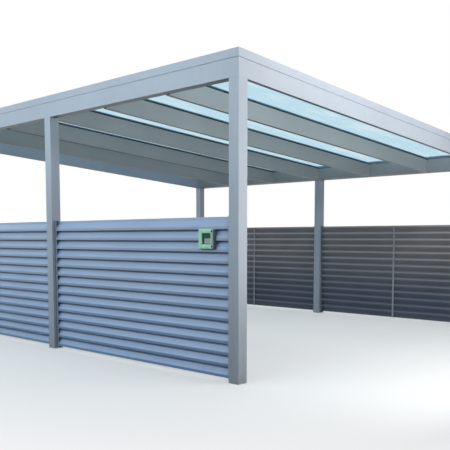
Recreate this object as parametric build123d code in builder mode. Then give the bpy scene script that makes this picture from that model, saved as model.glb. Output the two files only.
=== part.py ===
from build123d import *
import math
import os

os.makedirs("parts", exist_ok=True)

# Carport with a single-pitch glass roof on six square aluminium posts.
# Millimetres. +Z is up, the origin is the middle of the footprint on the floor.
# -Y is the open entrance, +Y the open rear end.
# -X is the high eave over the left louvre wall, +X the low eave over the right one.

# Overall sizes
width = 4620.0
length = 5100.0
high_eave = 2500.0
roof_fall = 342.0
post_size = 100.0
post_edge_radius = 3.0
bays = 2

# Roof frame, all depths measured down from the top surface of the roof
fascia_depth = 209.0
eave_thickness = 70.0
gutter_width = 100.0
gutter_wall = 6.0
gutter_bed = 59.0
end_beam_thickness = 40.0
cap_depth = 66.0
cap_wall = 5.0
cap_width = 60.0
gutter_cap_width = 30.0
gutter_cap_nose = 14.0
groove = 4.0
glass_top = 36.0
glass_thickness = 10.0
seal_thickness = 4.0
rafter_drop = 8.0
rafter_thickness = 38.0
roof_bays = 6

# Glazing
pane_gap = 12.0
pane_drip = 34.0
strip_width = 60.0
strip_thickness = 8.0
strip_stem = 10.0
seal_overhang = 2.0
seal_clearance = 2.0

# Louvre walls
louvre_recess = 32.0
blade_depth = 32.0
blade_wall = 3.0
blade_lip = 22.0
blade_slope = 52.0
blade_height = 96.0
blade_pitch = 88.5
blade_count = 14
bottom_lip = 27.5
channel_flange = 30.0
channel_wall = 3.0
channel_below = 17.5
channel_above = 6.0
stiffener_width = 24.0
stiffener_depth = 5.0

# Small box on the left wall, placed from the near corner of the entrance
box_near = 262.0
box_over_lip = 2.0
box_width = 171.0
box_height = 154.0
box_depth = 25.0
box_rim_side = 35.0
box_rim_end = 31.0
box_corner = 8.0
box_edge_radius = 2.0
box_fit = 0.3
plate_depth = 15.0
pad_width = 66.0
pad_height = 41.0
pad_corner = 3.0
pad_inset = 8.0
pad_depth = 4.0
pad_edge_radius = 1.2

# Derived positions
left = -width / 2
right = width / 2
front = -length / 2
rear = length / 2
slope = roof_fall / width
run = math.hypot(width, roof_fall)
down_slope = (width / run, 0, -roof_fall / run)
seat = glass_top + glass_thickness + seal_thickness
gutter_inner = right - gutter_width
gutter_outer = right - cap_wall - gutter_wall
gutter_floor = high_eave - roof_fall - fascia_depth + gutter_bed
pane_pitch = length / roof_bays
post_pitch = (length - post_size) / bays
wall_length = post_pitch - post_size
top_lip = bottom_lip + (blade_count - 1) * blade_pitch
channel_bottom = bottom_lip - channel_below
channel_top = top_lip + blade_height + channel_above
blade_step = blade_depth - blade_wall
fold_offset = blade_wall * (math.hypot(blade_step, blade_slope) - blade_slope) / blade_step


def roof_z(x, below):
    # Height of a roof surface that lies the given depth under the top one
    return high_eave - slope * (x - left) - below


# Posts, square tubes whose heads are cut to the fall of the roof
post_rows = [
    ("front", front),
    ("middle", front + post_pitch),
    ("rear", rear - post_size),
]
for row_name, row_y in post_rows:
    for side_name, post_x in [("left", left), ("right", right - post_size)]:
        inner_x = post_x + post_size
        with BuildPart() as post:
            with BuildSketch(Plane.XZ.offset(-row_y - post_size)):
                with BuildLine():
                    Polyline(
                        (post_x, 0),
                        (inner_x, 0),
                        (inner_x, roof_z(inner_x, fascia_depth)),
                        (post_x, roof_z(post_x, fascia_depth)),
                        close=True,
                    )
                make_face()
            extrude(amount=post_size)
            fillet(post.edges().filter_by(Axis.Z), radius=post_edge_radius)
        post.part.label = f"post_{side_name}_{row_name}"
        export_step(post.part, f"parts/post_{side_name}_{row_name}.step")

# Eave beam along the high side, rebated for the cap trim
with BuildPart() as left_eave_beam:
    with BuildSketch(Plane.XZ.offset(-rear)):
        with BuildLine():
            Polyline(
                (left, roof_z(left, fascia_depth)),
                (left + eave_thickness, roof_z(left + eave_thickness, fascia_depth)),
                (left + eave_thickness, roof_z(left + eave_thickness, seat)),
                (left + cap_wall, roof_z(left + cap_wall, seat)),
                (left + cap_wall, roof_z(left + cap_wall, cap_depth + groove)),
                (left, roof_z(left, cap_depth + groove)),
                close=True,
            )
        make_face()
    extrude(amount=length)
    with BuildSketch():
        for end_y, inward in [(front, 1), (rear, -1)]:
            with BuildLine():
                Polyline(
                    (left, end_y),
                    (left + end_beam_thickness, end_y + inward * end_beam_thickness),
                    (left + eave_thickness, end_y + inward * end_beam_thickness),
                    (left + eave_thickness, end_y),
                    close=True,
                )
            make_face()
    extrude(amount=high_eave, mode=Mode.SUBTRACT)
left_eave_beam.part.label = "left_eave_beam"
export_step(left_eave_beam.part, "parts/left_eave_beam.step")

# Eave beam along the low side, as wide as the posts, with a level bed for the gutter
right_corners = [
    (
        (right, end_y),
        (right - end_beam_thickness, end_y + inward * end_beam_thickness),
        (gutter_inner, end_y + inward * end_beam_thickness),
        (gutter_inner, end_y),
    )
    for end_y, inward in [(front, 1), (rear, -1)]
]
with BuildPart() as right_eave_beam:
    with BuildSketch(Plane.XZ.offset(-rear)):
        with BuildLine():
            Polyline(
                (right, roof_z(right, fascia_depth)),
                (gutter_inner, roof_z(gutter_inner, fascia_depth)),
                (gutter_inner, gutter_floor),
                (right, gutter_floor),
                close=True,
            )
        make_face()
    extrude(amount=length)
    with BuildSketch():
        for corner in right_corners:
            with BuildLine():
                Polyline(*corner, close=True)
            make_face()
    extrude(amount=high_eave, mode=Mode.SUBTRACT)
right_eave_beam.part.label = "right_eave_beam"
export_step(right_eave_beam.part, "parts/right_eave_beam.step")

# Walls of the gutter, the outer one rebated for the cap trim, closed by the end beams
with BuildPart() as gutter_outer_wall:
    with BuildSketch(Plane.XZ.offset(-rear)):
        with BuildLine():
            Polyline(
                (right, gutter_floor),
                (gutter_outer, gutter_floor),
                (gutter_outer, roof_z(gutter_outer, seat)),
                (right - cap_wall, roof_z(right - cap_wall, seat)),
                (right - cap_wall, roof_z(right - cap_wall, cap_depth + groove)),
                (right, roof_z(right, cap_depth + groove)),
                close=True,
            )
        make_face()
    extrude(amount=length)
    with BuildSketch():
        for corner in right_corners:
            with BuildLine():
                Polyline(*corner, close=True)
            make_face()
    extrude(amount=high_eave, mode=Mode.SUBTRACT)
gutter_outer_wall.part.label = "gutter_outer_wall"
export_step(gutter_outer_wall.part, "parts/gutter_outer_wall.step")

with BuildPart() as gutter_inner_wall:
    with BuildSketch(Plane.XZ.offset(-rear + end_beam_thickness)):
        with BuildLine():
            Polyline(
                (gutter_inner, gutter_floor),
                (gutter_inner + gutter_wall, gutter_floor),
                (gutter_inner + gutter_wall, roof_z(gutter_inner + gutter_wall, seat)),
                (gutter_inner, roof_z(gutter_inner, seat)),
                close=True,
            )
        make_face()
    extrude(amount=length - 2 * end_beam_thickness)
gutter_inner_wall.part.label = "gutter_inner_wall"
export_step(gutter_inner_wall.part, "parts/gutter_inner_wall.step")

# End beams that fall with the roof over the entrance and the rear, mitred to the eaves
for end_name, end_y, inward in [("front", front, 1), ("rear", rear, -1)]:
    with BuildPart() as end_beam:
        with BuildSketch(Plane.YZ.offset(left)):
            with BuildLine():
                Polyline(
                    (end_y, roof_z(left, fascia_depth)),
                    (end_y + inward * end_beam_thickness, roof_z(left, fascia_depth)),
                    (end_y + inward * end_beam_thickness, roof_z(left, seat)),
                    (end_y + inward * cap_wall, roof_z(left, seat)),
                    (end_y + inward * cap_wall, roof_z(left, cap_depth + groove)),
                    (end_y, roof_z(left, cap_depth + groove)),
                    close=True,
                )
            make_face()
        extrude(amount=run, dir=down_slope)
        split(bisect_by=Plane(origin=(left, end_y, 0), z_dir=(1, -inward, 0)), keep=Keep.TOP)
        split(bisect_by=Plane(origin=(right, end_y, 0), z_dir=(-1, -inward, 0)), keep=Keep.TOP)
    end_beam.part.label = f"{end_name}_beam"
    export_step(end_beam.part, f"parts/{end_name}_beam.step")

# Cap trims, downturned channels that hook over the frame and hold the glass edge
with BuildPart() as left_cap_trim:
    with BuildSketch(Plane.XZ.offset(-rear)):
        with BuildLine():
            Polyline(
                (left, roof_z(left, cap_depth)),
                (left + cap_wall, roof_z(left + cap_wall, cap_depth)),
                (left + cap_wall, roof_z(left + cap_wall, cap_wall)),
                (left + cap_width - cap_wall, roof_z(left + cap_width - cap_wall, cap_wall)),
                (left + cap_width - cap_wall, roof_z(left + cap_width - cap_wall, glass_top)),
                (left + cap_width, roof_z(left + cap_width, glass_top)),
                (left + cap_width, roof_z(left + cap_width, 0)),
                (left, roof_z(left, 0)),
                close=True,
            )
        make_face()
    extrude(amount=length)
    split(bisect_by=Plane(origin=(left, front, 0), z_dir=(-1, 1, 0)), keep=Keep.TOP)
    split(bisect_by=Plane(origin=(left, rear, 0), z_dir=(-1, -1, 0)), keep=Keep.TOP)
left_cap_trim.part.label = "left_cap_trim"
export_step(left_cap_trim.part, "parts/left_cap_trim.step")

# On the low side the cap is narrow, and the panes drip into the gutter behind it
nose_x = right - gutter_cap_width
with BuildPart() as right_cap_trim:
    with BuildSketch(Plane.XZ.offset(-rear)):
        with BuildLine():
            Polyline(
                (right, roof_z(right, cap_depth)),
                (right - cap_wall, roof_z(right - cap_wall, cap_depth)),
                (right - cap_wall, roof_z(right - cap_wall, cap_wall)),
                (nose_x + cap_wall, roof_z(nose_x + cap_wall, cap_wall)),
                (nose_x + cap_wall, roof_z(nose_x + cap_wall, gutter_cap_nose)),
                (nose_x, roof_z(nose_x, gutter_cap_nose)),
                (nose_x, roof_z(nose_x, 0)),
                (right, roof_z(right, 0)),
                close=True,
            )
        make_face()
    extrude(amount=length)
    split(bisect_by=Plane(origin=(right, front, 0), z_dir=(1, 1, 0)), keep=Keep.TOP)
    split(bisect_by=Plane(origin=(right, rear, 0), z_dir=(1, -1, 0)), keep=Keep.TOP)
right_cap_trim.part.label = "right_cap_trim"
export_step(right_cap_trim.part, "parts/right_cap_trim.step")

for end_name, end_y, inward in [("front", front, 1), ("rear", rear, -1)]:
    leg_y = end_y + inward * cap_wall
    hook_y = end_y + inward * (cap_width - cap_wall)
    nose_y = end_y + inward * cap_width
    with BuildPart() as end_cap:
        with BuildSketch(Plane.YZ.offset(left)):
            with BuildLine():
                Polyline(
                    (end_y, roof_z(left, cap_depth)),
                    (leg_y, roof_z(left, cap_depth)),
                    (leg_y, roof_z(left, cap_wall)),
                    (hook_y, roof_z(left, cap_wall)),
                    (hook_y, roof_z(left, glass_top)),
                    (nose_y, roof_z(left, glass_top)),
                    (nose_y, roof_z(left, 0)),
                    (end_y, roof_z(left, 0)),
                    close=True,
                )
            make_face()
        extrude(amount=run, dir=down_slope)
        split(bisect_by=Plane(origin=(left, end_y, 0), z_dir=(1, -inward, 0)), keep=Keep.TOP)
        with BuildSketch():
            with BuildLine():
                Polyline(
                    (right, end_y),
                    (nose_x, end_y + inward * gutter_cap_width),
                    (nose_x, nose_y),
                    (right, nose_y),
                    close=True,
                )
            make_face()
        extrude(amount=high_eave, mode=Mode.SUBTRACT)
    end_cap.part.label = f"{end_name}_cap_trim"
    export_step(end_cap.part, f"parts/{end_name}_cap_trim.step")

# Rafters, deep flat bars between the eave beams, notched where one lands on a post head
rafter_start = left + eave_thickness
rafter_end = gutter_inner
for number in range(1, roof_bays):
    rafter_y = front + number * pane_pitch
    with BuildPart() as rafter:
        with BuildSketch(Plane.XZ.offset(-rafter_y - rafter_thickness / 2)):
            with BuildLine():
                Polyline(
                    (rafter_start, roof_z(rafter_start, fascia_depth + rafter_drop)),
                    (rafter_end, roof_z(rafter_end, fascia_depth + rafter_drop)),
                    (rafter_end, roof_z(rafter_end, seat)),
                    (rafter_start, roof_z(rafter_start, seat)),
                    close=True,
                )
            make_face()
            for head_y in [front + post_pitch + post_size / 2]:
                if abs(rafter_y - head_y) < (post_size + rafter_thickness) / 2:
                    head_x = left + post_size
                    with BuildLine():
                        Polyline(
                            (left, roof_z(left, fascia_depth)),
                            (head_x, roof_z(head_x, fascia_depth)),
                            (head_x, roof_z(head_x, fascia_depth + 2 * rafter_drop)),
                            (left, roof_z(left, fascia_depth + 2 * rafter_drop)),
                            close=True,
                        )
                    make_face(mode=Mode.SUBTRACT)
        extrude(amount=rafter_thickness)
    rafter.part.label = f"rafter_{number}"
    export_step(rafter.part, f"parts/rafter_{number}.step")

# Glazing seals, one grid of flat strips on the frame and along both edges of each rafter
perimeter_start = cap_wall + seal_clearance + 5
strip_inner = strip_stem / 2 + seal_clearance
strip_outer = rafter_thickness / 2 + seal_overhang
seal_left = left + eave_thickness + seal_overhang
seal_right = gutter_inner - seal_overhang
seal_front = front + end_beam_thickness + seal_overhang
seal_rear = rear - end_beam_thickness - seal_overhang
with BuildPart() as glazing_seals:
    with BuildSketch(Plane.XZ.offset(-rear + perimeter_start)):
        for near_x, far_x in [
            (left + perimeter_start, seal_left),
            (seal_right, gutter_inner + gutter_wall),
        ]:
            with BuildLine():
                Polyline(
                    (near_x, roof_z(near_x, seat)),
                    (far_x, roof_z(far_x, seat)),
                    (far_x, roof_z(far_x, seat - seal_thickness)),
                    (near_x, roof_z(near_x, seat - seal_thickness)),
                    close=True,
                )
            make_face()
    extrude(amount=length - 2 * perimeter_start)
    with BuildSketch(Plane.YZ.offset(seal_left)):
        seal_low = roof_z(seal_left, seat)
        seal_high = roof_z(seal_left, seat - seal_thickness)
        seal_spans = [(front + perimeter_start, seal_front), (seal_rear, rear - perimeter_start)]
        for number in range(1, roof_bays):
            rafter_y = front + number * pane_pitch
            seal_spans.append((rafter_y - strip_outer, rafter_y - strip_inner))
            seal_spans.append((rafter_y + strip_inner, rafter_y + strip_outer))
        for near_y, far_y in seal_spans:
            with BuildLine():
                Polyline(
                    (near_y, seal_low),
                    (far_y, seal_low),
                    (far_y, seal_high),
                    (near_y, seal_high),
                    close=True,
                )
            make_face()
    extrude(amount=(seal_right - seal_left) * run / width, dir=down_slope)
glazing_seals.part.label = "glazing_seals"
export_step(glazing_seals.part, "parts/glazing_seals.step")

# Glass panes, one to each roof bay, falling with the roof
pane_left = left + pane_gap
pane_right = gutter_inner + gutter_wall + pane_drip
for number in range(1, roof_bays + 1):
    pane_front = front + (number - 1) * pane_pitch + pane_gap / 2
    pane_rear = front + number * pane_pitch - pane_gap / 2
    if number == 1:
        pane_front = front + pane_gap
    if number == roof_bays:
        pane_rear = rear - pane_gap
    with BuildPart() as glass_pane:
        with BuildSketch(Plane.XZ.offset(-pane_rear)):
            with BuildLine():
                Polyline(
                    (pane_left, roof_z(pane_left, glass_top + glass_thickness)),
                    (pane_right, roof_z(pane_right, glass_top + glass_thickness)),
                    (pane_right, roof_z(pane_right, glass_top)),
                    (pane_left, roof_z(pane_left, glass_top)),
                    close=True,
                )
            make_face()
        extrude(amount=pane_rear - pane_front)
    glass_pane.part.label = f"glass_pane_{number}"
    export_step(glass_pane.part, f"parts/glass_pane_{number}.step")

# Cover strips, flat bars with a stem that stands on the rafter between two panes
strip_left = left + cap_width
strip_right = pane_right
for number in range(1, roof_bays):
    rafter_y = front + number * pane_pitch
    with BuildPart() as cover_strip:
        with BuildSketch(Plane.YZ.offset(strip_left)):
            with BuildLine():
                Polyline(
                    (rafter_y - strip_stem / 2, roof_z(strip_left, glass_top)),
                    (rafter_y - strip_width / 2, roof_z(strip_left, glass_top)),
                    (rafter_y - strip_width / 2, roof_z(strip_left, glass_top - strip_thickness)),
                    (rafter_y + strip_width / 2, roof_z(strip_left, glass_top - strip_thickness)),
                    (rafter_y + strip_width / 2, roof_z(strip_left, glass_top)),
                    (rafter_y + strip_stem / 2, roof_z(strip_left, glass_top)),
                    (rafter_y + strip_stem / 2, roof_z(strip_left, glass_top + glass_thickness)),
                    (rafter_y - strip_stem / 2, roof_z(strip_left, glass_top + glass_thickness)),
                    close=True,
                )
            make_face()
        extrude(amount=(strip_right - strip_left) * run / width, dir=down_slope)
        with BuildSketch(Plane.YZ.offset(seal_left)):
            with BuildLine():
                Polyline(
                    (rafter_y - strip_stem / 2, roof_z(seal_left, glass_top)),
                    (rafter_y - strip_stem / 2, roof_z(seal_left, seat)),
                    (rafter_y + strip_stem / 2, roof_z(seal_left, seat)),
                    (rafter_y + strip_stem / 2, roof_z(seal_left, glass_top)),
                    close=True,
                )
            make_face()
        extrude(amount=(seal_right - seal_left) * run / width, dir=down_slope)
    cover_strip.part.label = f"cover_strip_{number}"
    export_step(cover_strip.part, f"parts/cover_strip_{number}.step")

# Louvre walls: folded blades between side channels, with a stiffener down the back
wall_rows = [("front", front + post_size), ("rear", front + post_pitch + post_size)]
for side_name, face_x, inward in [("left", left, 1), ("right", right, -1)]:
    lip_x = face_x + inward * louvre_recess
    back_x = lip_x + inward * blade_depth
    for row_name, wall_y in wall_rows:
        wall_end = wall_y + wall_length
        with BuildPart() as louvre_wall:
            with BuildSketch(Plane.XZ.offset(-wall_end + channel_wall)):
                for blade in range(blade_count):
                    lip_z = top_lip - blade * blade_pitch
                    with BuildLine():
                        Polyline(
                            (lip_x, lip_z),
                            (lip_x + inward * blade_wall, lip_z),
                            (lip_x + inward * blade_wall, lip_z + blade_lip - fold_offset),
                            (back_x, lip_z + blade_lip + blade_slope - fold_offset),
                            (back_x, lip_z + blade_height),
                            (back_x - inward * blade_wall, lip_z + blade_height),
                            (back_x - inward * blade_wall, lip_z + blade_lip + blade_slope),
                            (lip_x, lip_z + blade_lip),
                            close=True,
                        )
                    make_face()
            extrude(amount=wall_length - 2 * channel_wall)
            with BuildSketch(Plane.XY.offset(channel_bottom)):
                for web_y, along in [(wall_y, 1), (wall_end, -1)]:
                    front_face = lip_x - inward * channel_wall
                    back_face = back_x + inward * channel_wall
                    with BuildLine():
                        Polyline(
                            (front_face, web_y),
                            (back_face, web_y),
                            (back_face, web_y + along * channel_flange),
                            (back_x, web_y + along * channel_flange),
                            (back_x, web_y + along * channel_wall),
                            (lip_x, web_y + along * channel_wall),
                            (lip_x, web_y + along * channel_flange),
                            (front_face, web_y + along * channel_flange),
                            close=True,
                        )
                    make_face()
            extrude(amount=channel_top - channel_bottom)
            with BuildSketch(Plane.XY.offset(top_lip - (blade_count - 1) * blade_pitch)):
                middle_y = wall_y + wall_length / 2
                with BuildLine():
                    Polyline(
                        (back_x, middle_y - stiffener_width / 2),
                        (back_x + inward * stiffener_depth, middle_y - stiffener_width / 2),
                        (back_x + inward * stiffener_depth, middle_y + stiffener_width / 2),
                        (back_x, middle_y + stiffener_width / 2),
                        close=True,
                    )
                make_face()
            extrude(amount=(blade_count - 1) * blade_pitch + blade_height)
        louvre_wall.part.label = f"louvre_{side_name}_{row_name}"
        export_step(louvre_wall.part, f"parts/louvre_{side_name}_{row_name}.step")

# Box on the left wall: a rounded rim round a recessed plate with a raised pad
box_back = left + louvre_recess
box_centre_y = front + box_near + box_width / 2
box_centre_z = top_lip + box_over_lip - box_height / 2
opening_width = box_width - 2 * box_rim_side
opening_height = box_height - 2 * box_rim_end
box_plane = Plane(origin=(box_back, box_centre_y, box_centre_z), x_dir=(0, -1, 0), z_dir=(-1, 0, 0))
with BuildPart() as wall_box_rim:
    with BuildSketch(box_plane):
        RectangleRounded(box_width, box_height, box_corner)
        RectangleRounded(opening_width, opening_height, box_corner / 2, mode=Mode.SUBTRACT)
    extrude(amount=box_depth)
    fillet(wall_box_rim.faces().sort_by(Axis.X)[0].edges(), radius=box_edge_radius)
wall_box_rim.part.label = "wall_box_rim"
export_step(wall_box_rim.part, "parts/wall_box_rim.step")

with BuildPart() as wall_box_plate:
    with BuildSketch(box_plane):
        RectangleRounded(
            opening_width - 2 * box_fit,
            opening_height - 2 * box_fit,
            box_corner / 2 - box_fit,
        )
    extrude(amount=plate_depth)
wall_box_plate.part.label = "wall_box_plate"
export_step(wall_box_plate.part, "parts/wall_box_plate.step")

with BuildPart() as wall_box_pad:
    with BuildSketch(box_plane.offset(plate_depth)):
        with Locations(
            (
                opening_width / 2 - pad_width / 2 - pad_inset,
                pad_height / 2 + pad_inset - opening_height / 2,
            )
        ):
            RectangleRounded(pad_width, pad_height, pad_corner)
    extrude(amount=pad_depth)
    fillet(wall_box_pad.faces().sort_by(Axis.X)[0].edges(), radius=pad_edge_radius)
wall_box_pad.part.label = "wall_box_pad"
export_step(wall_box_pad.part, "parts/wall_box_pad.step")
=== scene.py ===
import math
import random

import bmesh
import bpy
from mathutils import Matrix, Vector


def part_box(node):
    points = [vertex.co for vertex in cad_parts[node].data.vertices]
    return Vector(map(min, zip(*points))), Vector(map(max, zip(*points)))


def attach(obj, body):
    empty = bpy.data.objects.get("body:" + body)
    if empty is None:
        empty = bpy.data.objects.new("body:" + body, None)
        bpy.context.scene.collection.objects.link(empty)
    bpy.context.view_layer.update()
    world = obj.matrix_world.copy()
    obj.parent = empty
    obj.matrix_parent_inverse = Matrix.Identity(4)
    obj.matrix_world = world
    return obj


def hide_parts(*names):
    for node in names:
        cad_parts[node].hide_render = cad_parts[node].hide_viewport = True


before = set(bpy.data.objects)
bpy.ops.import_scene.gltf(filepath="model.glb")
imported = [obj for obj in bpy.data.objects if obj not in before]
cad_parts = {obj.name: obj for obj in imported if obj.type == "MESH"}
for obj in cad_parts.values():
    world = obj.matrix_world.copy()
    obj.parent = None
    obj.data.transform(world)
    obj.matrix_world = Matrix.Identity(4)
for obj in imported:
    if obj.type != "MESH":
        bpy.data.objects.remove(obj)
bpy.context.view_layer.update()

bl_info = {
    "name": "Carport with glass roof",
    "version": (1, 0, 0),
    "blender": (4, 5, 0),
    "location": "3D View > Sidebar > Carport",
    "description": "Powder coat, glass, folded louvre blades, fixings, light and camera for a carport",
    "category": "Object",
}

BODY = "root"
MM = 0.001

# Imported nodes, by the finish that they share

POSTS = [f"post_{side}_{row}" for side in ("left", "right") for row in ("front", "middle", "rear")]
EAVES = ["left_eave_beam", "gutter_outer_wall"]
ENDS = ["front_beam", "rear_beam"]
GUTTER = ["right_eave_beam", "gutter_inner_wall"]
RAFTERS = [f"rafter_{number}" for number in range(1, 6)]
CAPS = [f"{side}_cap_trim" for side in ("left", "right", "front", "rear")]
STRIPS = [f"cover_strip_{number}" for number in range(1, 6)]
PANES = [f"glass_pane_{number}" for number in range(1, 7)]
WALLS = [f"louvre_{side}_{row}" for side in ("left", "right") for row in ("front", "rear")]


# Colours and sizes that a user may change

def paint(red, green, blue):
    """Linear colour from the usual 0 to 255 numbers."""
    shares = [value / 255 for value in (red, green, blue)]
    return [s / 12.92 if s <= 0.04045 else ((s + 0.055) / 1.055) ** 2.4 for s in shares]


def colour(name, description, *numbers):
    return bpy.props.FloatVectorProperty(
        name=name, description=description, default=paint(*numbers), subtype="COLOR", min=0, max=1
    )


def size(name, description, default):
    return bpy.props.FloatProperty(
        name=name, description=description, default=default, unit="LENGTH", min=0, precision=4
    )


class CarportColours(bpy.types.PropertyGroup):
    """Colours of the finishes"""

    post: colour("Post coat", "Powder coat of the posts", 179, 190, 205)
    eave: colour("Eave coat", "Powder coat of high eave beam and outer gutter wall", 179, 190, 205)
    end: colour("End coat", "Powder coat of the beams over entrance and rear", 179, 190, 205)
    # Darker and greyer than the other frame coats: painted shade under the roof on the frame's powder
    # coat
    rafter: colour("Rafter coat", "Powder coat of rafters, gutter bed and inner wall", 164, 167, 169)
    trim: colour("Trim coat", "Powder coat of the cap trims and cover strips", 179, 190, 205)
    louvre: colour("Louvre coat", "Powder coat of the folded blades", 158, 182, 215)
    # A little darker than the louvre coat: painted shade on the channels beside the posts
    channel: colour("Channel coat", "Powder coat of the side channels", 150, 168, 192)
    stiffener: colour("Stiffener coat", "Powder coat of the flat bars behind the blades", 148, 151, 160)
    # Painted shade: the reverse of the blades is the louvre powder coat, given this darker grey for the
    # shade it lies in
    backing: colour("Backing coat", "Grey lacquer on the reverse of the blades", 101, 107, 114)
    # The strong blue is partly painted: it stands in for the sky seen through the panes, besides the
    # glass's own tint
    glass: colour("Glass tint", "What the roof panes let through", 198, 232, 247)
    glass_edge: colour("Glass edge", "Cut edge of the panes", 84, 146, 150)
    rubber: colour("Seal rubber", "Seals under the panes and washers of the screws", 38, 42, 46)
    dust: colour("Dust", "Dry dust on faces that look up", 196, 192, 180)
    soil: colour("Soil splash", "Splash marks above the floor", 120, 110, 92)
    box_rim: colour("Box rim", "Moulded rim of the wall box", 190, 250, 212)
    box_hinge: colour("Box hinge side", "Side of the rim that carries the hinge", 172, 196, 194)
    box_sill: colour("Box sill", "Foot of the recessed plate", 118, 142, 104)
    box_screw: colour("Box screws", "Blackened screws of the rim", 16, 34, 28)
    box_plate: colour("Box plate", "Recessed plate of the wall box", 20, 84, 62)
    box_pad: colour("Box pad", "Raised pad of the wall box", 176, 184, 182)
    box_housing: colour("Box housing", "Housing behind the rim of the wall box", 96, 114, 128)
    steel: colour("Steel", "Stainless screws of the cover strips", 170, 172, 172)
    floor: colour("Floor", "Studio floor", 236, 238, 240)


class CarportSizes(bpy.types.PropertyGroup):
    """Sizes of the folded blades and the fixings"""

    edge: size("Edge radius", "Rounding of sawn and extruded edges", 1.4 * MM)
    glass_edge: size("Glass edge", "Ground edge of the panes", 1.0 * MM)
    pitch: size("Blade pitch", "Height from one blade to the next", 88.5 * MM)
    blade_height: size("Blade height", "Height of one folded blade", 96.0 * MM)
    blade_depth: size("Blade depth", "Depth of one folded blade", 32.0 * MM)
    sheet: size("Sheet", "Thickness of blades and channels", 3.0 * MM)
    lip: size("Blade lip", "Height of the upright lip at the front", 22.0 * MM)
    slope: size("Blade slope", "Height of the sloping part", 52.0 * MM)
    flange: size("Channel flange", "Width of the side channel's flanges", 30.0 * MM)
    fold: size("Fold radius", "Outer radius of a fold", 5.0 * MM)
    above: size("Channel above", "How far the side channels rise over the top blade", 6.0 * MM)
    stiffener: size("Stiffener", "Width of the flat bar behind the blades", 24.0 * MM)
    stiffener_depth: size("Stiffener depth", "Thickness of the bar behind the blades", 5.0 * MM)
    screw_pitch: size("Screw pitch", "Distance between the screws of a cover strip", 0.3)
    blades: bpy.props.IntProperty(name="Blades", description="Blades in one wall", default=14, min=1)


# Shading

class Wire:
    """An output socket that takes part in arithmetic: each operator adds its Math node."""

    def __init__(self, finish, socket):
        self.finish = finish
        self.socket = socket

    def _math(self, operation, *values):
        return self.finish.node("ShaderNodeMath", {"operation": operation}, dict(enumerate(values)))

    def __add__(self, other):
        return self._math("ADD", self, other)

    __radd__ = __add__

    def __mul__(self, other):
        return self._math("MULTIPLY", self, other)

    __rmul__ = __mul__

    def __sub__(self, other):
        return self._math("SUBTRACT", self, other)

    def __rsub__(self, other):
        return self._math("SUBTRACT", other, self)

    def __abs__(self):
        return self._math("ABSOLUTE", self)


class Finish:
    """The nodes of one material, or of the light round the carport."""

    def __init__(self, owner):
        owner.use_nodes = True
        self.owner = owner
        self.tree = owner.node_tree
        self.tree.nodes.clear()

    def node(self, kind, settings=None, inputs=None, output=0):
        made = self.tree.nodes.new(kind)
        for key, value in (settings or {}).items():
            setattr(made, key, value)
        for key, value in (inputs or {}).items():
            if isinstance(value, Wire):
                self.tree.links.new(value.socket, made.inputs[key])
            else:
                made.inputs[key].default_value = value
        return None if output is None else Wire(self, made.outputs[output])

    def place(self):
        """Where a point lies on the carport, in metres."""
        return self.node("ShaderNodeTexCoord", output="Object")

    def axis(self, vector, name):
        return self.node("ShaderNodeSeparateXYZ", None, {0: vector}, name)

    def stretched(self, vector, *factors):
        return self.node("ShaderNodeVectorMath", {"operation": "MULTIPLY"}, {0: vector, 1: factors})

    def noise(self, vector, scale, detail=2.0, roughness=0.5):
        return self.node(
            "ShaderNodeTexNoise", None,
            {"Vector": vector, "Scale": scale, "Detail": detail, "Roughness": roughness},
        )

    def span(self, value, low, high, start=0.0, end=1.0):
        """Runs smoothly from start to end while value goes from low to high."""
        return self.node(
            "ShaderNodeMapRange", {"interpolation_type": "SMOOTHSTEP"},
            {"Value": value, "From Min": low, "From Max": high, "To Min": start, "To Max": end},
        )

    def mix(self, factor, first, second):
        return self.node("ShaderNodeMix", {"data_type": "RGBA"}, {0: factor, 6: first, 7: second}, 2)

    def mark(self, name):
        """A number that the mesh carries at its points."""
        return self.node("ShaderNodeAttribute", {"attribute_name": name}, None, "Fac")

    def bump(self, height, distance, strength):
        return self.node(
            "ShaderNodeBump", None, {"Height": height, "Distance": distance, "Strength": strength}
        )

    def normal(self):
        return self.node("ShaderNodeNewGeometry", output="Normal")

    def principled(self, inputs):
        return self.node("ShaderNodeBsdfPrincipled", None, inputs)

    def either(self, factor, first, second):
        return self.node("ShaderNodeMixShader", None, {0: factor, 1: first, 2: second})

    def seen(self):
        """1 for a ray from the camera, or one mirrored or let through on its way."""
        paths = [
            self.node("ShaderNodeLightPath", output=name)
            for name in ("Is Camera Ray", "Is Glossy Ray", "Is Transmission Ray")
        ]
        return self.node("ShaderNodeClamp", None, {0: paths[0] + paths[1] + paths[2]})

    def done(self, surface, kind="ShaderNodeOutputMaterial"):
        self.node(kind, None, {"Surface": surface}, None)
        return self.owner


def shade(tone, *factors):
    """A colour made lighter or darker, by one factor or by one for each channel, with alpha."""
    factors = factors if len(factors) == 3 else factors * 3
    return (*[min(1.0, value * factor) for value, factor in zip(tone, factors)], 1.0)


def lip_tone(tone):
    """The tone of a blade's upright lip: painted shade, a little greyer than the slope that catches
    more light.
    """
    grey = sum(tone) / 3
    return [value * 0.75 + grey * 0.25 for value in tone]


# Marks that blades and channels carry at their points, for the finish to read. The rise goes
# from 0 at a blade's foot to 1 at its head: the lip ends at 0.23, the rear flange starts at 0.77.
# Tucked is the rise again, and stays 0 on the top blade, which no other blade covers; by it the
# finish paints the shade under the blade above.

BLADE_MARKS = ("fold_rise", "fold_reverse", "fold_tucked")
CHANNEL_MARKS = ("beside_post", "inner_flange")

# Where the painted shade towards the foot, the splash and the painted shade of the lower blades
# reach, as heights over the floor in metres

FOOT_SHADE_TOP = 1.75
SPLASH_TOP = 0.3
LOW_SHADE_FROM, LOW_SHADE_TO = 1.1, 0.2

# How far from the ends of a bay its corners get painted shade, in metres

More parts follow.
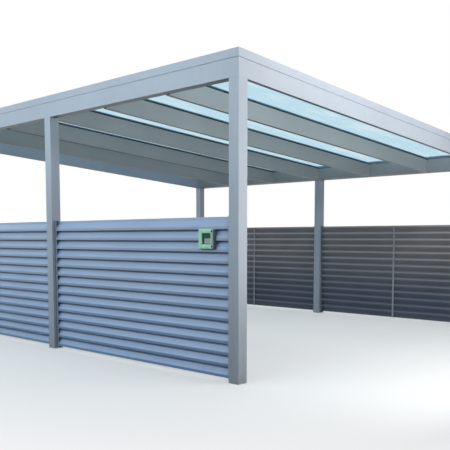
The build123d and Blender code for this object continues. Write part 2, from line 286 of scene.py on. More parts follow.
CORNER_SHADE_REACH = 0.1


def patchy(f, at, tone, low, high):
    """A tone that drifts from place to place."""
    return f.mix(f.span(f.noise(at, 1.3, 3.0), 0.35, 0.65), shade(tone, low), shade(tone, high))


def powder_coat(name, tone, dust, soil, rough=0.42, splashed=0.25, foot_shade=0.0, under=0.0, over=None):
    """Powder coat with fine flake, rain streaks, settled dust and soil splashed up from below.
    Two optional strengths add painted shade: one that grows towards the floor, and one on faces that
    look down. over(f, at, body) lays a piece's own tones and painted shade on top."""
    f = Finish(bpy.data.materials.new(name))
    at = f.place()
    upward = f.axis(f.normal(), "Z")
    height = f.axis(at, "Z")
    streaks = f.noise(f.stretched(at, 34.0, 34.0, 1.1), 1.0, 3.0, 0.6)
    spatter = f.noise(f.stretched(at, 1.0, 1.0, 0.5), 24.0, 5.0, 0.6)
    flake = f.noise(at, 1500.0, 1.0)
    peel = f.noise(at, 320.0, 2.0)
    walls = 1.0 - f.span(abs(upward), 0.3, 0.7)
    specks = f.span(f.noise(at, 170.0, 2.0, 0.6), 0.66, 0.74)
    settled = f.span(upward, 0.45, 0.95) * f.span(f.noise(at, 5.0, 4.0, 0.6), 0.3, 0.75)
    splash = f.span(height, SPLASH_TOP, 0.0) * f.span(spatter, 0.4, 0.75)
    body = patchy(f, at, tone, 0.95, 1.05)
    body = f.mix(f.span(flake, 0.3, 0.7) * 0.12, body, shade(tone, 1.22))
    body = f.mix(f.span(streaks, 0.52, 0.75) * walls * 0.16, body, shade(tone, 0.78))
    body = f.mix(specks * 0.25, body, shade(tone, 0.7))
    body = f.mix(settled * 0.45, body, shade(dust, 1.0))
    # Painted shade that grows towards the floor, where the ground shades the foot of a post
    if foot_shade:
        lower = f.node(
            "ShaderNodeMapRange", None, {"Value": height, "From Min": FOOT_SHADE_TOP, "From Max": 0.0}
        )
        body = f.mix(lower * foot_shade * f.span(streaks, 0.3, 0.7, 0.85, 1.0), body, shade(soil, 0.25))
    # Painted shade on faces that look down
    if under:
        body = f.mix(f.span(upward, -0.6, -0.9) * under, body, shade(tone, 0.17, 0.19, 0.21))
    body = f.mix(splash * splashed, body, shade(soil, 1.0))
    if over:
        body = over(f, at, body)
    roughness = f.span(flake, 0.25, 0.75, rough - 0.05, rough + 0.05) + settled * 0.3 + splash * 0.3
    return f.done(f.principled({
        "Base Color": body, "Roughness": roughness, "Metallic": 0.0, "IOR": 1.5,
        "Normal": f.bump(peel * 0.6 + flake * 0.25 + specks * 0.4, 0.00025, 0.5),
    }))


def channel_tones(tone, reverse):
    """Paints shade in the corner beside the post, and gives the inner flange the painted shade of the
    blades' reverse.
    """

    def over(f, at, body):
        beside, inner = [f.mark(name) for name in CHANNEL_MARKS]
        # Painted shade in the corner beside the post
        body = f.mix(f.span(beside, 0.35, 0.55) * 0.85, body, shade(tone, 0.3))
        return f.mix(f.span(inner, 0.4, 0.6), body, shade(reverse, 0.9))

    return over


def blade_tones(tone, reverse, flange, bay_ends):
    """Paints shade on the lip, a shadow in the slot under the next blade and shade in the corners of
    the bay, and paints the reverse a shaded grey with a less shaded rear flange. Towards the floor the
    front gets painted shade, and the reverse gets painted light at the top and painted shade below."""

    def over(f, at, body):
        rise, behind, tucked = [f.mark(name) for name in BLADE_MARKS]
        low = f.span(f.axis(at, "Z"), LOW_SHADE_FROM, LOW_SHADE_TO)
        along = abs(f.axis(at, "Y"))
        near, far = bay_ends
        corner = f.span(along, near + CORNER_SHADE_REACH, near) + f.span(along, far - CORNER_SHADE_REACH, far)

        # Painted shade on the upright lip, darker and bluer towards the floor
        lip = f.mix(low, shade(lip_tone(tone), 0.9), shade(tone, 0.36, 0.5, 0.6))
        # Painted shadow in the slot under the next blade, bluer towards the floor
        slot_shadow = f.mix(low, shade(tone, 0.22), shade(tone, 0.22, 0.45, 0.65))
        # Painted light: the front turns bluer towards the floor
        front = f.mix(low * 0.5, body, shade(tone, 1.0, 1.06, 1.16))
        front = f.mix(f.span(rise, 0.25, 0.22) * 0.8, front, lip)
        # Painted shade that deepens up the slope towards the blade above
        front = f.mix(f.span(tucked, 0.24, 0.79) * 0.3, front, shade(tone, 0.4))
        front = f.mix(f.span(tucked, 0.75, 0.83) * 0.7, front, slot_shadow)
        # Painted shade in the corners of the bay beside the posts
        front = f.mix(corner * 0.4, front, shade(tone, 0.4))

        # The reverse gets painted shade: a darker grey than the front, with the rear flange less shaded
        back = patchy(f, at, reverse, 0.9, 1.1)
        back = f.mix(f.span(rise, 0.76, 0.82) * 0.7, back, shade(flange, 0.9))
        # Painted light on the reverse towards the top, painted shade towards the floor
        height_light_and_shade = f.mix(low, (1.65, 1.44, 1.3, 1.0), (0.55, 0.62, 0.77, 1.0))
        back = f.node("ShaderNodeVectorMath", {"operation": "MULTIPLY"}, {0: back, 1: height_light_and_shade})
        return f.mix(f.span(behind, 0.4, 0.6), front, back)

    return over


def clear_glass(name, tint, edge, dust):
    """Tinted roof glass with water marks, pale patches that are partly haze and partly painted sky
    reflection, and a denser tone in its cut edges.
    """
    f = Finish(bpy.data.materials.new(name))
    at = f.place()
    upright = 1.0 - f.span(abs(f.axis(f.normal(), "Z")), 0.2, 0.8)
    # Pale patches in what the panes let through: partly haze, partly painted reflection of the sky
    haze_and_reflection = f.span(f.noise(f.stretched(at, 0.7, 2.6, 1.0), 2.2, 6.0, 0.62), 0.44, 0.7)
    spots = f.span(f.noise(at, 95.0, 2.0, 0.6), 0.6, 0.72)
    # Light passes two faces of a pane, so each face takes the root of the tint
    root = [value ** 0.5 for value in tint]
    deep = f.node("ShaderNodeBsdfTransparent", None, {0: shade(root, 0.99)})
    pale = f.node("ShaderNodeBsdfTransparent", None, {0: (0.92, 0.965, 0.98, 1.0)})
    through = f.either(haze_and_reflection * 0.55, deep, pale)
    body = f.mix(upright, shade(tint, 0.95), shade(edge, 1.0))
    body = f.mix(spots * 0.5, body, shade(dust, 1.0))
    mirror = f.node("ShaderNodeFresnel", None, {"IOR": 1.5})
    face = f.principled({
        "Base Color": body, "Roughness": f.span(spots + haze_and_reflection * 0.5, 0.0, 1.0, 0.03, 0.2), "IOR": 1.5,
        "Normal": f.bump(f.noise(at, 3.0, 1.0), 0.0006, 0.4),
    })
    share = f.node("ShaderNodeClamp", None, {0: mirror * 0.08 + upright * 0.7 + spots * 0.05})
    return f.done(f.either(share, through, face))


def rubber(name, tone, dust):
    """Dull rubber with a fine grain and chalky patches."""
    f = Finish(bpy.data.materials.new(name))
    at = f.place()
    chalk = f.span(f.noise(at, 38.0, 4.0, 0.65), 0.45, 0.75)
    fine = f.noise(f.stretched(at, 1.0, 1.0, 4.0), 700.0, 2.0)
    body = f.mix(chalk * 0.3, shade(tone, 1.0), shade(dust, 0.45))
    return f.done(f.principled({
        "Base Color": body, "Roughness": f.span(chalk, 0.0, 1.0, 0.7, 0.9), "Specular IOR Level": 0.25,
        "Normal": f.bump(fine, 0.0002, 0.5),
    }))


def moulded(name, tone, dust, rough=0.45, second=None, axis="Z", start=0.0, end=1.0):
    """Moulded plastic with a fine spark-eroded grain, paler where the sun has worn it.
    A second tone, if given, takes over along an axis between start and end."""
    f = Finish(bpy.data.materials.new(name))
    at = f.place()
    fade = f.span(f.noise(at, 18.0, 3.0), 0.35, 0.7)
    grain = f.noise(at, 1900.0, 2.0, 0.6)
    scuffs = f.span(f.noise(f.stretched(at, 1.0, 2.0, 9.0), 60.0, 3.0, 0.7), 0.62, 0.7)
    body = f.mix(fade, shade(tone, 0.92), shade(tone, 1.12))
    if second is not None:
        body = f.mix(f.span(f.axis(at, axis), start, end), body, shade(second, 1.0))
    body = f.mix(scuffs * 0.3, body, shade(dust, 1.0))
    return f.done(f.principled({
        "Base Color": body,
        "Roughness": f.span(grain, 0.3, 0.7, rough - 0.07, rough + 0.07) + scuffs * 0.2,
        "Specular IOR Level": 0.25,
        "Normal": f.bump(grain + scuffs * 0.5, 0.00015, 0.5),
    }))


def bright_steel(name, tone, dust):
    """Turned stainless steel with dull water stains."""
    f = Finish(bpy.data.materials.new(name))
    at = f.place()
    grooves = f.noise(f.stretched(at, 1.0, 1.0, 0.2), 2400.0, 2.0)
    stain = f.span(f.noise(at, 130.0, 3.0, 0.6), 0.5, 0.72)
    body = f.mix(stain * 0.5, shade(tone, 1.0), shade(dust, 0.5))
    return f.done(f.principled({
        "Base Color": body, "Roughness": f.span(grooves, 0.3, 0.7, 0.28, 0.42) + stain * 0.25,
        "Metallic": 1.0 - stain * 0.5, "Normal": f.bump(grooves, 0.00008, 0.4),
    }))


# Shapes

def wear(node_name, material, radius):
    """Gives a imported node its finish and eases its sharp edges."""
    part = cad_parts[node_name]
    for held in part.material_slots:
        held.material = material
    weld = part.modifiers.new("joined_corners", "WELD")
    weld.merge_threshold = 0.01 * MM
    ease = part.modifiers.new("eased_edges", "BEVEL")
    ease.width = radius
    ease.segments = 2
    ease.limit_method = "ANGLE"
    ease.angle_limit = math.radians(35)
    ease.harden_normals = True


def keep(name, shape, material, sharp=30):
    """Turns a bmesh into a piece that rides on the carport."""
    bmesh.ops.recalc_face_normals(shape, faces=shape.faces)
    mesh = bpy.data.meshes.new(name)
    shape.to_mesh(mesh)
    shape.free()
    mesh.materials.append(material)
    for face in mesh.polygons:
        face.use_smooth = True
    mesh.set_sharp_from_angle(angle=math.radians(sharp))
    piece = bpy.data.objects.new(name, mesh)
    bpy.context.scene.collection.objects.link(piece)
    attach(piece, BODY)
    return piece


def rounded(corners, radii, steps=4):
    """A closed outline whose corners are turned into arcs."""
    outline = []
    count = len(corners)
    for index, corner in enumerate(corners):
        here, before = Vector(corner), Vector(corners[index - 1])
        after = Vector(corners[(index + 1) % count])
        radius = radii[index]
        if radius <= 0:
            outline.append(here)
            continue
        into, out = (before - here).normalized(), (after - here).normalized()
        half = into.angle(out) / 2
        reach = radius / math.tan(half)
        centre = here + (into + out).normalized() * (radius / math.sin(half))
        start, end = here + into * reach - centre, here + out * reach - centre
        sweep = start.angle_signed(end)
        for step in range(steps + 1):
            turn = Matrix.Rotation(-sweep * step / steps, 2)
            outline.append(centre + turn @ start)
    return outline


def extruded(shape, outline, place, near, far, marks=None):
    """Adds a bar: the outline at near and far, each point set in space by place(point, distance).
    marks gives named numbers for each point of the outline, which the finish reads."""
    marks, layers = marks or {}, shape.verts.layers.float
    for name in marks:
        if name not in layers.keys():
            layers.new(name)
    rings = [[shape.verts.new(place(point, distance)) for point in outline] for distance in (near, far)]
    for name, values in marks.items():
        for ring in rings:
            for vert, value in zip(ring, values):
                vert[layers[name]] = value
    count = len(outline)
    for index in range(count):
        after = (index + 1) % count
        shape.faces.new((rings[0][index], rings[0][after], rings[1][after], rings[1][index]))
    shape.faces.new(rings[0])
    shape.faces.new(rings[1])


def turned(shape, profile, matrix, sides=20):
    """Adds a turned solid: rings of (radius, height), closed by a point or face at both ends."""
    rings = []
    for radius, height in profile:
        ring = []
        for side in range(sides):
            angle = 2 * math.pi * side / sides
            point = Vector((radius * math.cos(angle), radius * math.sin(angle), height))
            ring.append(shape.verts.new(matrix @ point))
        rings.append(ring)
    for low, high in zip(rings, rings[1:]):
        for side in range(sides):
            after = (side + 1) % sides
            shape.faces.new((low[side], low[after], high[after], high[side]))
    shape.faces.new(list(reversed(rings[0])))
    shape.faces.new(rings[-1])


def ring_stack(shape, middle, rings):
    """Joins outlines of equal count, each at its own depth, into one closed skin round an opening."""
    made = [
        [shape.verts.new((x, middle.y + point.x, middle.z + point.y)) for point in outline]
        for x, outline in rings
    ]
    for near, far in zip(made, made[1:] + made[:1]):
        for index in range(len(near)):
            after = (index + 1) % len(near)
            shape.faces.new((near[index], near[after], far[after], far[index]))


def facing(position, direction, spin=0.0):
    """A matrix at position whose Z axis points along direction."""
    turn = Vector(direction).normalized().to_track_quat("Z", "Y").to_matrix().to_4x4()
    return Matrix.Translation(position) @ turn @ Matrix.Rotation(spin, 4, "Z")


# Outlines of the fixings, as radius and height over the sheet in millimetres

RIVET = [(5.0, -0.3), (5.0, 0.3), (4.4, 1.0), (3.2, 1.5), (1.7, 1.7), (1.5, 1.2), (0.9, 1.1)]
WASHER = [(7.5, -0.2), (7.5, 1.0), (6.9, 1.4), (4.9, 1.4)]
DOME = [(4.8, 1.2), (4.7, 2.4), (4.0, 3.6), (2.9, 4.3), (1.9, 4.5), (1.7, 2.6), (0.7, 2.6)]
BOX_SCREW = [(8.4, -1.0), (8.4, 0.2), (7.6, 1.3), (5.2, 1.9), (1.8, 2.0)]
BOX_PLUG = [(5.4, -1.4), (5.4, -0.4), (4.9, 0.1), (2.0, 0.3)]

# Distance from the ends of a cover strip to its first and last screw, in metres

SCREW_END = 0.08

# Rounding of the edges of seals and of the wall box's plate and pad

SEAL_EDGE, PLATE_EDGE, PAD_EDGE = 0.6 * MM, 0.5 * MM, 1.2 * MM

# How far a blade leans for each metre of its height, and how many millimetres it drops, at most

BLADE_LEAN, BLADE_DROP = 0.004, 0.4

# An edge that turns by more degrees than this stays sharp

SHEET_SHARP, MOULDED_SHARP = 24, 40


def in_mm(profile):
    return [(radius * MM, height * MM) for radius, height in profile]


# Operators, one for each group of pieces

class CARPORT_OT_frame(bpy.types.Operator):
    """Powder coats posts, beams, gutter walls and rafters, and eases their edges"""

    bl_idname = "carport.frame"
    bl_label = "Frame"

    def execute(self, context):
        colours, sizes = context.scene.carport_colours, context.scene.carport_sizes
        for label, tone, names in (
            ("post_coat", colours.post, POSTS),
            ("eave_coat", colours.eave, EAVES),
            ("end_coat", colours.end, ENDS),
            ("rafter_coat", colours.rafter, RAFTERS + GUTTER),
        ):
            # Posts get painted shade towards their foot, beams and rafters painted shade on faces that
            # look down
            painted_shade = {"foot_shade": 0.3} if names is POSTS else {"under": 0.9}
            coat = powder_coat(label, tone, colours.dust, colours.soil, **painted_shade)
            for name in names:
                wear(name, coat, sizes.edge)
        return {"FINISHED"}


class CARPORT_OT_trims(bpy.types.Operator):
    """Powder coats cap trims and cover strips, and screws the strips down"""

    bl_idname = "carport.trims"
    bl_label = "Trims"

    def execute(self, context):
        colours, sizes = context.scene.carport_colours, context.scene.carport_sizes
        coat = powder_coat("trim_coat", colours.trim, colours.dust, colours.soil)
        for name in CAPS + STRIPS:
            wear(name, coat, sizes.edge)
        steel = bright_steel("steel", colours.steel, colours.dust)
        seal = rubber("washer_rubber", colours.rubber, colours.dust)
        heads, rings = bmesh.new(), bmesh.new()
        for name in STRIPS:
            low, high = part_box(name)
            fall = self.fall(name)
            normal = Vector((fall, 0, 1)).normalized()
            run = high.x - low.x - 2 * SCREW_END
            count = int(run / sizes.screw_pitch)
            for number in range(count + 1):
                x = low.x + SCREW_END + number * run / count
                spot = Vector((x, (low.y + high.y) / 2, high.z - fall * (x - low.x)))
                place = facing(spot, normal, random.Random(name + str(number)).uniform(0, 1))
                turned(rings, in_mm(WASHER), place)
                turned(heads, in_mm(DOME), place, 18)
        keep("cover_strip_screws", heads, steel)
        keep("cover_strip_washers", rings, seal)
        return {"FINISHED"}

    @staticmethod
    def fall(name):
        """How far the top of a strip drops for each metre of its run."""
        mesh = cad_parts[name].data
        low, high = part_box(name)
        far = max(vert.co.z for vert in mesh.vertices if vert.co.x > high.x - 0.001)
        return (high.z - far) / (high.x - low.x)


class CARPORT_OT_glazing(bpy.types.Operator):
    """Gives the roof panes and the seals under them their finish"""

    bl_idname = "carport.glazing"
    bl_label = "Glazing"

    def execute(self, context):
        colours, sizes = context.scene.carport_colours, context.scene.carport_sizes
        glass = clear_glass("roof_glass", colours.glass, colours.glass_edge, colours.dust)
        for name in PANES:
            wear(name, glass, sizes.glass_edge)
        wear("glazing_seals", rubber("seal_rubber", colours.rubber, colours.dust), SEAL_EDGE)
        return {"FINISHED"}


class LouvreWall:
    """Folded blades between two side channels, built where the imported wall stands. Depths are
    measured from the lips of the blades towards the parking bay."""

    def __init__(self, name, sizes):
        self.name = name
        self.sizes = sizes
        self.low, self.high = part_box(name)
        self.inward = 1 if self.low.x < 0 else -1
        outer_face = self.low.x if self.inward > 0 else self.high.x
        self.lip_x = outer_face + self.inward * sizes.sheet
        self.top = self.high.z - sizes.above - sizes.blade_height
        self.cut_edge = sizes.sheet * 0.3

    def behind(self, depth):
        """The x of a point that lies this deep behind the lips."""
        return self.lip_x + self.inward * depth

    def fold_blades(self, coat):
        """Each blade leans and drops a little on its own."""
        sizes, edge = self.sizes, self.cut_edge
        sheet, depth, lip, slope = sizes.sheet, sizes.blade_depth, sizes.lip, sizes.slope
        step = depth - sheet
        fold = sheet * (math.hypot(step, slope) - slope) / step
        inner, outer = sizes.fold - sheet, sizes.fold
        outline = rounded(
            [
                (0, 0), (sheet, 0), (sheet, lip - fold), (depth, lip + slope - fold),
                (depth, sizes.blade_height), (step, sizes.blade_height), (step, lip + slope), (0, lip),
            ],
            [edge, edge, inner, outer, edge, edge, inner, outer],
        )
        rise = [point.y / sizes.blade_height for point in outline]
        # The eight corners are arcs of as many points each, and corners 1 to 4 are on the reverse
        arc = len(outline) // 8
        reverse = [1.0 if 1 <= index // arc <= 4 else 0.0 for index in range(len(outline))]
        draw = random.Random(self.name)
        blades = bmesh.new()
        for number in range(sizes.blades):
            base = self.top - number * sizes.pitch
            lean = draw.uniform(-BLADE_LEAN, BLADE_LEAN)
            drop = draw.uniform(-BLADE_DROP, BLADE_DROP) * MM

            def place(point, y, base=base, lean=lean, drop=drop):
                deep = min(max(point.x + lean * (point.y - lip), 0.0), depth)
                return (self.behind(deep), y, base + drop + point.y)

            # The top blade gets no painted shade from a blade above
            tucked = rise if number else [0.0] * len(rise)
            marks = dict(zip(BLADE_MARKS, (rise, reverse, tucked)))
            extruded(blades, outline, place, self.low.y + sheet, self.high.y - sheet, marks)
        wall = keep(self.name + "_blades", blades, coat, sharp=SHEET_SHARP)
        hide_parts(self.name)

    def bend_channels(self, coat):
        """A channel at each end of the bay, its web against the post."""
        sizes, edge = self.sizes, self.cut_edge
        sheet, depth, flange = sizes.sheet, sizes.blade_depth, sizes.flange
        outline = rounded(
            [
                (-sheet, 0), (depth + sheet, 0), (depth + sheet, flange), (depth, flange),
                (depth, sheet), (0, sheet), (0, flange), (-sheet, flange),
            ],
            [sheet * 1.1, sheet * 1.1, edge, edge, edge, edge, edge, edge],
        )
        # The finish paints shade by these marks: near the post on the outer flange, and all over the
        # inner flange
        beside = [1.0 - point.y / flange for point in outline]
        inner = [1.0 if point.x > depth / 2 else 0.0 for point in outline]
        marks = dict(zip(CHANNEL_MARKS, (beside, inner)))
        channels = bmesh.new()
        for web_y, along in ((self.low.y, 1), (self.high.y, -1)):
            extruded(
                channels, outline,
                lambda point, z: (self.behind(point.x), web_y + along * point.y, z),
                self.low.z, self.high.z, marks,
            )
        keep(self.name + "_channels", channels, coat, sharp=SHEET_SHARP)

    def fit_stiffener(self, coat):
        """A flat bar against the rear flanges in the middle of the bay."""
        sizes = self.sizes
        middle = (self.low.y + self.high.y) / 2
        half = sizes.stiffener / 2
        front, back = sizes.blade_depth, sizes.blade_depth + sizes.stiffener_depth
        eased = 1.2 * MM
        outline = rounded(
            [(front, -half), (back, -half), (back, half), (front, half)], [0, eased, eased, 0]
        )
        foot = self.top - (sizes.blades - 1) * sizes.pitch
        bar = bmesh.new()
        extruded(
            bar, outline, lambda point, z: (self.behind(point.x), middle + point.y, z),
            foot, self.top + sizes.blade_height,
        )
        keep(self.name + "_stiffener", bar, coat, sharp=SHEET_SHARP)

    def set_rivets(self, coat):
        """One rivet through every blade's rear flange at each channel and at the stiffener."""
        sizes = self.sizes
        over_fold, from_post = 11 * MM, sizes.flange * 0.62
        spots = (
            (sizes.blade_depth + sizes.stiffener_depth, (self.low.y + self.high.y) / 2),
            (sizes.blade_depth + sizes.sheet, self.low.y + from_post),
            (sizes.blade_depth + sizes.sheet, self.high.y - from_post),
        )
        rivets = bmesh.new()
        for number in range(sizes.blades):
            z = self.top - number * sizes.pitch + sizes.lip + sizes.slope + over_fold
            for deep, y in spots:
                turned(rivets, in_mm(RIVET), facing((self.behind(deep), y, z), (self.inward, 0, 0)), 14)
        keep(self.name + "_rivets", rivets, coat)


class CARPORT_OT_louvre_walls(bpy.types.Operator):
    """Folds the blades and side channels of the four walls and rivets their stiffeners"""

    bl_idname = "carport.louvre_walls"
    bl_label = "Louvre walls"

    def execute(self, context):
        colours, sizes = context.scene.carport_colours, context.scene.carport_sizes
        # The bays lie alike on both sides of the middle posts, so one gives the ends of all
        low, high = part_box(WALLS[1])
        bay_ends = sorted((abs(low.y), abs(high.y)))
        dust, soil = colours.dust, colours.soil
        blades = blade_tones(colours.louvre, colours.backing, colours.stiffener, bay_ends)
        channels = channel_tones(colours.channel, colours.backing)
        coat = powder_coat("louvre_coat", colours.louvre, dust, soil, splashed=0.1, over=blades)
        channel_coat = powder_coat("channel_coat", colours.channel, dust, soil, over=channels)
        bar_coat = powder_coat("stiffener_coat", colours.stiffener, dust, soil)
        rivet_coat = powder_coat("rivet_coat", colours.stiffener, dust, soil, 0.35)
        for name in WALLS:
            wall = LouvreWall(name, sizes)
            wall.fold_blades(coat)
            wall.bend_channels(channel_coat)
            wall.fit_stiffener(bar_coat)
            wall.set_rivets(rivet_coat)
        return {"FINISHED"}


class CARPORT_OT_wall_box(bpy.types.Operator):
    """Builds the box on the left wall: bezel, housing, plate, pad, screws and plugs"""

    bl_idname = "carport.wall_box"
    bl_label = "Wall box"

    def execute(self, context):
        colours = context.scene.carport_colours
        low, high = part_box("wall_box_rim")
        plate_low, plate_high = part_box("wall_box_plate")
        front, back = low.x, high.x
        middle = (low + high) / 2
        half_y, half_z = (high.y - low.y) / 2, (high.z - low.z) / 2
        fit = 0.3 * MM
        open_y = (plate_high.y - plate_low.y) / 2 + fit
        open_z = (plate_high.z - plate_low.z) / 2 + fit
        bezel_back = front + 13 * MM
        bare_strip = 13 * MM

        def outline(wide, tall, radius, cut):
            corners = [(cut - wide, -tall), (wide, -tall), (wide, tall), (cut - wide, tall)]
            return rounded(corners, [radius * MM] * 4, 6)

        def outside(inset, radius, cut=0.0):
            return outline(half_y - inset * MM, half_z - inset * MM, radius, cut)

        def opening(inset, radius):
            return outline(open_y - inset * MM, open_z - inset * MM, radius, 0.0)

        bezel = bmesh.new()
        ring_stack(bezel, middle, [
            (bezel_back, outside(0, 8, bare_strip)),
            (front + 3 * MM, outside(0, 8, bare_strip)),
            (front + 1 * MM, outside(0.8, 7.4, bare_strip)),
            (front, outside(3, 6, bare_strip)),
            (front, opening(0, 6)),
            (front + 0.6 * MM, opening(1.2, 5)),
            (front + 4 * MM, opening(2.4, 4)),
            (front + 7 * MM, opening(2.4, 4)),
            (front + 7 * MM, opening(0, 4)),
            (bezel_back, opening(0, 4)),
        ])
        hinge_side = middle.y - open_y
        rim_coat = moulded(
            "box_rim", colours.box_rim, colours.dust, second=colours.box_hinge, axis="Y",
            start=hinge_side - 2 * MM, end=hinge_side - 8 * MM,
        )
        rim = keep("wall_box_bezel", bezel, rim_coat, sharp=MOULDED_SHARP)
        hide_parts("wall_box_rim")

        housing = bmesh.new()
        ring_stack(housing, middle, [
            (back, outside(2.5, 6)),
            (front + 8 * MM, outside(2.5, 6)),
            (front + 6 * MM, outside(4.5, 5)),
            (front + 6 * MM, opening(-3, 5)),
            (bezel_back, opening(-3, 5)),
            (bezel_back, opening(0, 4)),
            (back, opening(0, 4)),
        ])
        housing_coat = moulded("box_housing", colours.box_housing, colours.dust)
        keep("wall_box_housing", housing, housing_coat, sharp=MOULDED_SHARP)

        plate_coat = moulded(
            "box_plate", colours.box_plate, colours.dust, 0.35, colours.box_sill, "Z",
            plate_low.z + 16 * MM, plate_low.z,
        )
        wear("wall_box_plate", plate_coat, PLATE_EDGE)
        wear("wall_box_pad", moulded("box_pad", colours.box_pad, colours.dust), PAD_EDGE)

        screws, plugs = bmesh.new(), bmesh.new()
        seat, from_end = front + 0.4 * MM, 19 * MM
        screw_y, plug_y = low.y + bare_strip + 12 * MM, high.y - 15 * MM
        for z in (low.z + from_end, high.z - from_end):
            turned(screws, in_mm(BOX_SCREW), facing((seat, screw_y, z), (-1, 0, 0)))
            turned(plugs, in_mm(BOX_PLUG), facing((seat, plug_y, z), (-1, 0, 0)))
        keep("wall_box_screws", screws, rubber("screw_black", colours.box_screw, colours.dust))
        keep("wall_box_plugs", plugs, rim_coat)
        return {"FINISHED"}


# The studio, in metres. Each lamp is a name, a place, watts, a tint, a width and a depth.

LAMPS = (
    ("entrance", (-0.7, -4.6, 1.2), 50.0, (1.0, 0.99, 0.95), 3.5, 1.6),
    ("over_entrance", (-0.3, -4.4, 3.5), 72.0, (1.0, 0.99, 0.95), 6.4, 1.0),
    ("side", (-6.5, 0.5, 3.6), 214.0, (0.85, 0.98, 1.04), 9.0, 2.0),
    ("far_side", (7.0, 2.4, 3.8), 190.0, (0.96, 0.99, 1.0), 6.0, 2.0),
    ("rear", (0.3, 7.0, 4.0), 170.0, (1.0, 0.99, 0.98), 7.0, 2.0),
    ("above", (0.0, 0.8, 8.0), 130.0, (1.0, 1.0, 1.0), 5.0, 5.0),
)
LAMPS_AIM = Vector((0, 0, 1.2))

# What the camera sees behind the carport, and what lights the carport in its place

LIT_WHITE = (1.0, 1.0, 1.0, 1.0)
UNSEEN_GREY = (0.1, 0.1, 0.1, 1.0)

# The floor lies just under the feet, and fades to white between two distances from the middle

FLOOR_RADIUS = 120
FLOOR_DROP = 0.5 * MM
FLOOR_FADE = (3.4, 6.6)

# The camera: the first three are pixels of the photograph, the sensor is in millimetres,
# the place in metres, and dip and turn are in degrees.

PHOTO_SIDE = 450
FOCAL_LENGTH = 688.04
OPTICAL_CENTRE = (223.74, 295.02)
SENSOR_WIDTH = 36.0
CAMERA_PLACE = (-6.1119, -6.0113, 1.1140)
CAMERA_DIP = 4.78
CAMERA_TURN = 43.53
CAMERA_REACH = 400


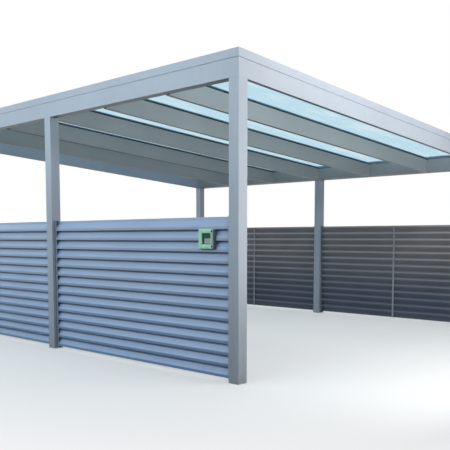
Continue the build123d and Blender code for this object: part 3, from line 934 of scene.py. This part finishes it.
class CARPORT_OT_stage(bpy.types.Operator):
    """Sets floor, soft studio light and the camera"""

    bl_idname = "carport.stage"
    bl_label = "Stage"

    def execute(self, context):
        scene = context.scene
        colours = scene.carport_colours
        self.floor(scene, colours)
        self.sky(scene)
        self.lamps(scene)
        self.camera(scene)
        scene.view_settings.view_transform = "Standard"
        return {"FINISHED"}

    @staticmethod
    def floor(scene, colours):
        """A pale floor that keeps the carport's shadow and fades to white away from it."""
        f = Finish(bpy.data.materials.new("studio_floor"))
        at = f.place()
        seen = f.seen()
        distance = f.node("ShaderNodeVectorMath", {"operation": "LENGTH"}, {0: at}, "Value")
        far = f.span(distance, *FLOOR_FADE)
        lit = f.principled({
            "Base Color": f.mix(seen, UNSEEN_GREY, shade(colours.floor, 1.0)),
            "Roughness": 0.9, "Specular IOR Level": 0.1,
        })
        white = f.node("ShaderNodeEmission", None, {"Color": LIT_WHITE, "Strength": 1.0})
        material = f.done(f.either((far * 0.7 + 0.3) * seen, lit, white))
        shape = bmesh.new()
        bmesh.ops.create_circle(shape, cap_ends=True, segments=96, radius=FLOOR_RADIUS)
        mesh = bpy.data.meshes.new("floor")
        shape.to_mesh(mesh)
        shape.free()
        mesh.materials.append(material)
        floor = bpy.data.objects.new("floor", mesh)
        floor.location.z = -FLOOR_DROP
        scene.collection.objects.link(floor)

    @staticmethod
    def sky(scene):
        """White where it is seen, and a dim grey where it lights the carport."""
        scene.world = bpy.data.worlds.new("studio")
        f = Finish(scene.world)
        colour_seen = f.mix(f.seen(), UNSEEN_GREY, LIT_WHITE)
        f.done(f.node("ShaderNodeBackground", None, {"Color": colour_seen}), "ShaderNodeOutputWorld")

    @staticmethod
    def lamps(scene):
        """Soft lamps that the camera doesn't see, all aimed at the middle of the carport."""
        for name, place, watts, tint, width, depth in LAMPS:
            lamp = bpy.data.lights.new(name, "AREA")
            lamp.energy = watts
            lamp.color = tint
            lamp.shape = "RECTANGLE"
            lamp.size = width
            lamp.size_y = depth
            holder = bpy.data.objects.new(name, lamp)
            holder.location = place
            holder.visible_camera = False
            holder.rotation_euler = (LAMPS_AIM - Vector(place)).to_track_quat("-Z", "Y").to_euler()
            scene.collection.objects.link(holder)

    @staticmethod
    def camera(scene):
        """The view of the photograph."""
        data = bpy.data.cameras.new("camera")
        data.sensor_width = SENSOR_WIDTH
        data.lens = SENSOR_WIDTH * FOCAL_LENGTH / PHOTO_SIDE
        data.shift_x = (PHOTO_SIDE / 2 - OPTICAL_CENTRE[0]) / PHOTO_SIDE
        data.shift_y = (OPTICAL_CENTRE[1] - PHOTO_SIDE / 2) / PHOTO_SIDE
        data.clip_end = CAMERA_REACH
        camera = bpy.data.objects.new("camera", data)
        camera.location = CAMERA_PLACE
        camera.rotation_euler = (math.radians(90 - CAMERA_DIP), 0, math.radians(CAMERA_TURN - 90))
        scene.collection.objects.link(camera)
        scene.camera = camera


class CARPORT_PT_panel(bpy.types.Panel):
    """Lists the steps that dress the carport"""

    bl_idname = "CARPORT_PT_panel"
    bl_label = "Carport"
    bl_space_type = "VIEW_3D"
    bl_region_type = "UI"
    bl_category = "Carport"

    def draw(self, context):
        for step in STEPS:
            self.layout.operator(step.bl_idname)
        for group in (context.scene.carport_colours, context.scene.carport_sizes):
            box = self.layout.box()
            for name in group.bl_rna.properties.keys():
                if name not in ("rna_type", "name"):
                    box.prop(group, name)


STEPS = (
    CARPORT_OT_stage,
    CARPORT_OT_frame,
    CARPORT_OT_trims,
    CARPORT_OT_glazing,
    CARPORT_OT_louvre_walls,
    CARPORT_OT_wall_box,
)
CLASSES = (CarportColours, CarportSizes, *STEPS, CARPORT_PT_panel)


def register():
    for kind in CLASSES:
        bpy.utils.register_class(kind)
    bpy.types.Scene.carport_colours = bpy.props.PointerProperty(type=CarportColours)
    bpy.types.Scene.carport_sizes = bpy.props.PointerProperty(type=CarportSizes)


def unregister():
    del bpy.types.Scene.carport_sizes
    del bpy.types.Scene.carport_colours
    for kind in reversed(CLASSES):
        bpy.utils.unregister_class(kind)


def main():
    register()
    bpy.ops.carport.stage()
    bpy.ops.carport.frame()
    bpy.ops.carport.trims()
    bpy.ops.carport.glazing()
    bpy.ops.carport.louvre_walls()
    bpy.ops.carport.wall_box()


if __name__ == "__main__":
    main()
